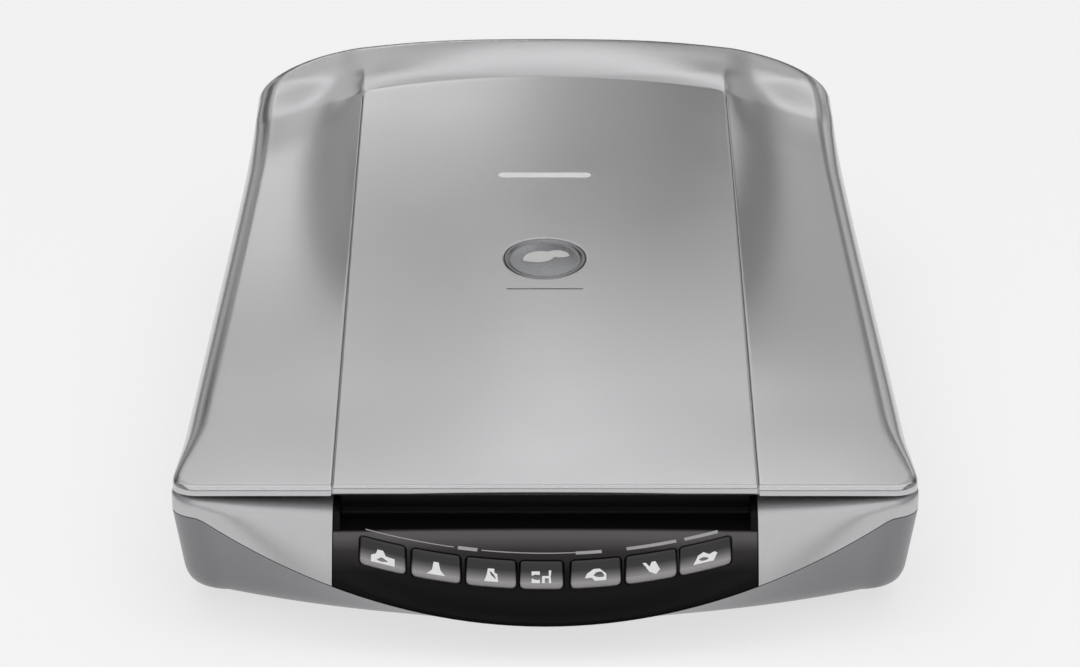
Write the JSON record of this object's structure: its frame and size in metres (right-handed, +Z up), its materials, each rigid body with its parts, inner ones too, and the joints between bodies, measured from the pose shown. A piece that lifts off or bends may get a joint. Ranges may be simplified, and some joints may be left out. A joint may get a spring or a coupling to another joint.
{
  "type": "flatbed scanner",
  "caption": "Desktop flatbed document scanner with a sculpted hinged lid, glass platen, belt-driven scan head and a bowed front panel of push buttons.",
  "frame": {"origin": "middle of the footprint, on the surface that the scanner stands on", "axes": "+Z up, +X to the right of somebody facing the buttons, +Y from the buttons towards the lid hinges"},
  "size_m": [0.272, 0.476, 0.0898],
  "materials": {
    "silver_paint": "satin silver lacquer on moulded plastic",
    "case_silver": "satin silver lacquer, a shade darker",
    "gloss_black": "high gloss",
    "button_smoke": "gloss with a pale lower edge",
    "badge_metal": "bright turned face",
    "dark_plastic": "fine moulded texture",
    "liner_plastic": "fine moulded texture",
    "white_sheet": "smooth white film",
    "foam": "open-cell foam",
    "clear_glass": "polished float glass",
    "mirror": "front-silvered strip",
    "steel": "ground or zinc plated",
    "brass": "machined",
    "rubber": "soft moulded",
    "white_plastic": "natural nylon",
    "board_green": "solder mask",
    "lamp_glass": "frosted lamp tube",
    "ribbon": "laminated flat cable"
  },
  "bodies": {
    "base": {"upper_case": "silver_paint", "lower_case": "case_silver", "platen_glass": "clear_glass", "calibration_strip": "white_sheet", "foot_1": "rubber", "foot_2": "rubber", "foot_3": "rubber", "foot_4": "rubber", "case_screw_1": "steel", "case_screw_2": "steel", "case_screw_3": "steel", "case_screw_4": "steel", "control_panel": "gloss_black", "button_board": "board_green", "main_board": "board_green", "usb_socket": "steel", "power_socket": "dark_plastic", "io_plate": "case_silver", "guide_rod": "steel", "rod_clip_front": "dark_plastic", "rod_clip_back": "dark_plastic", "side_rail": "dark_plastic", "timing_belt": "rubber", "motor_bracket": "steel", "stepper_motor": "steel", "idler_bracket": "steel", "tension_spring": "steel", "ribbon_cable": "ribbon", "hinge_socket_left": "dark_plastic", "hinge_socket_right": "dark_plastic"},
    "hinge_posts": {"hinge_post_left": "dark_plastic", "hinge_post_right": "dark_plastic"},
    "lid": {"lid_cover": "silver_paint", "lid_centre_panel": "silver_paint", "lid_badge": "badge_metal", "lid_liner": "liner_plastic", "foam_pad": "foam", "white_mat": "white_sheet", "bumper_left": "rubber", "bumper_right": "rubber", "hinge_leaf_left": "steel", "hinge_leaf_right": "steel"},
    "scan_head": {"carriage_body": "dark_plastic", "lamp_reflector": "steel", "lamp_tube": "lamp_glass", "mirror_1": "mirror", "mirror_2": "mirror", "lens_barrel": "brass", "sensor_board": "board_green", "inverter_board": "board_green"},
    "drive_pulley": {"motor_pulley": "brass"},
    "idler": {"idler_pulley": "white_plastic"},
    "lock_slider": {"transport_lock": "dark_plastic"},
    "key_1": {"button_1": "button_smoke"},
    "key_2": {"button_2": "button_smoke"},
    "key_3": {"button_3": "button_smoke"},
    "key_4": {"button_4": "button_smoke"},
    "key_5": {"button_5": "button_smoke"},
    "key_6": {"button_6": "button_smoke"},
    "key_7": {"button_7": "button_smoke"}
  },
  "joints": [
    {"name": "lid_lift", "type": "slide", "parent": "base", "child": "hinge_posts", "axis": [0, 0, 1], "range_m": [0, 0.018]},
    {"name": "lid_hinge", "type": "hinge", "parent": "hinge_posts", "child": "lid", "pos_m": [0, 0.217, 0.058], "axis": [-1, 0, 0], "range_deg": [0, 72]},
    {"name": "head_travel", "type": "slide", "parent": "base", "child": "scan_head", "axis": [0, 1, 0], "range_m": [0, 0.3]},
    {"name": "motor_spin", "type": "hinge", "parent": "base", "child": "drive_pulley", "pos_m": [-0.06, -0.186, 0.011], "axis": [0, 0, 1], "continuous": true},
    {"name": "idler_spin", "type": "hinge", "parent": "base", "child": "idler", "pos_m": [-0.06, 0.203, 0.011], "axis": [0, 0, 1], "continuous": true},
    {"name": "lock_slide", "type": "slide", "parent": "base", "child": "lock_slider", "axis": [0, 1, 0], "range_m": [0, 0.008]},
    {"name": "button_1_press", "type": "slide", "parent": "base", "child": "key_1", "axis": [0, 0.7406, -0.6719], "range_m": [0, 0.0012], "stiffness_N_per_m": 300, "springref_m": -0.0006},
    {"name": "button_2_press", "type": "slide", "parent": "base", "child": "key_2", "axis": [0, 0.7406, -0.6719], "range_m": [0, 0.0012], "stiffness_N_per_m": 300, "springref_m": -0.0006},
    {"name": "button_3_press", "type": "slide", "parent": "base", "child": "key_3", "axis": [0, 0.7406, -0.6719], "range_m": [0, 0.0012], "stiffness_N_per_m": 300, "springref_m": -0.0006},
    {"name": "button_4_press", "type": "slide", "parent": "base", "child": "key_4", "axis": [0, 0.7406, -0.6719], "range_m": [0, 0.0012], "stiffness_N_per_m": 300, "springref_m": -0.0006},
    {"name": "button_5_press", "type": "slide", "parent": "base", "child": "key_5", "axis": [0, 0.7406, -0.6719], "range_m": [0, 0.0012], "stiffness_N_per_m": 300, "springref_m": -0.0006},
    {"name": "button_6_press", "type": "slide", "parent": "base", "child": "key_6", "axis": [0, 0.7406, -0.6719], "range_m": [0, 0.0012], "stiffness_N_per_m": 300, "springref_m": -0.0006},
    {"name": "button_7_press", "type": "slide", "parent": "base", "child": "key_7", "axis": [0, 0.7406, -0.6719], "range_m": [0, 0.0012], "stiffness_N_per_m": 300, "springref_m": -0.0006}
  ],
  "couplings": [
    {"joint": "motor_spin", "follows": "head_travel", "rad_per_m": 170.94},
    {"joint": "idler_spin", "follows": "head_travel", "rad_per_m": 170.94}
  ]
}
